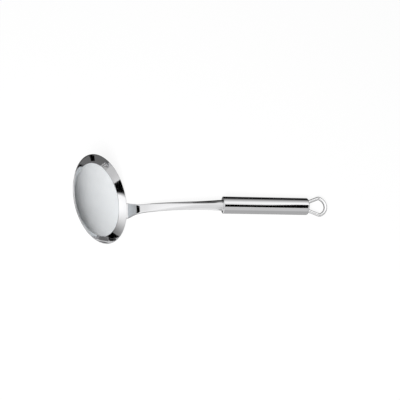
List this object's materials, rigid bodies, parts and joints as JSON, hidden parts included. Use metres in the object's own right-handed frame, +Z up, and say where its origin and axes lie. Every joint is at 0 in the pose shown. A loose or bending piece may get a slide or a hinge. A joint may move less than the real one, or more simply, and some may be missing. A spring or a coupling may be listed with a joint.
{
  "type": "skimmer",
  "caption": "Kitchen skimmer with a dished fine mesh head in a sloping polished collar, a waisted steel stem and a round tubular handle with a wire hanging loop.",
  "frame": {"origin": "centre of the skimmer's box on the surface that it lies on", "axes": "+X along the handle towards the hanging loop, +Z up out of the surface, mid-plane at Y = 0"},
  "size_m": [0.3138, 0.11, 0.0958],
  "materials": {
    "polished_collar": "mirror polished stainless steel",
    "woven_mesh": "satin woven stainless steel wire",
    "polished_stem": "mirror polished stainless steel",
    "polished_handle": "mirror polished stainless steel",
    "polished_wire": "bright drawn stainless steel wire"
  },
  "bodies": {
    "root": {"rim_ring": "polished_collar", "mesh_screen": "woven_mesh", "clamp_ring": "polished_collar", "stem": "polished_stem", "front_cap": "polished_handle", "handle_tube": "polished_handle", "rear_cap": "polished_handle", "hanging_loop": "polished_wire"}
  },
  "joints": []
}
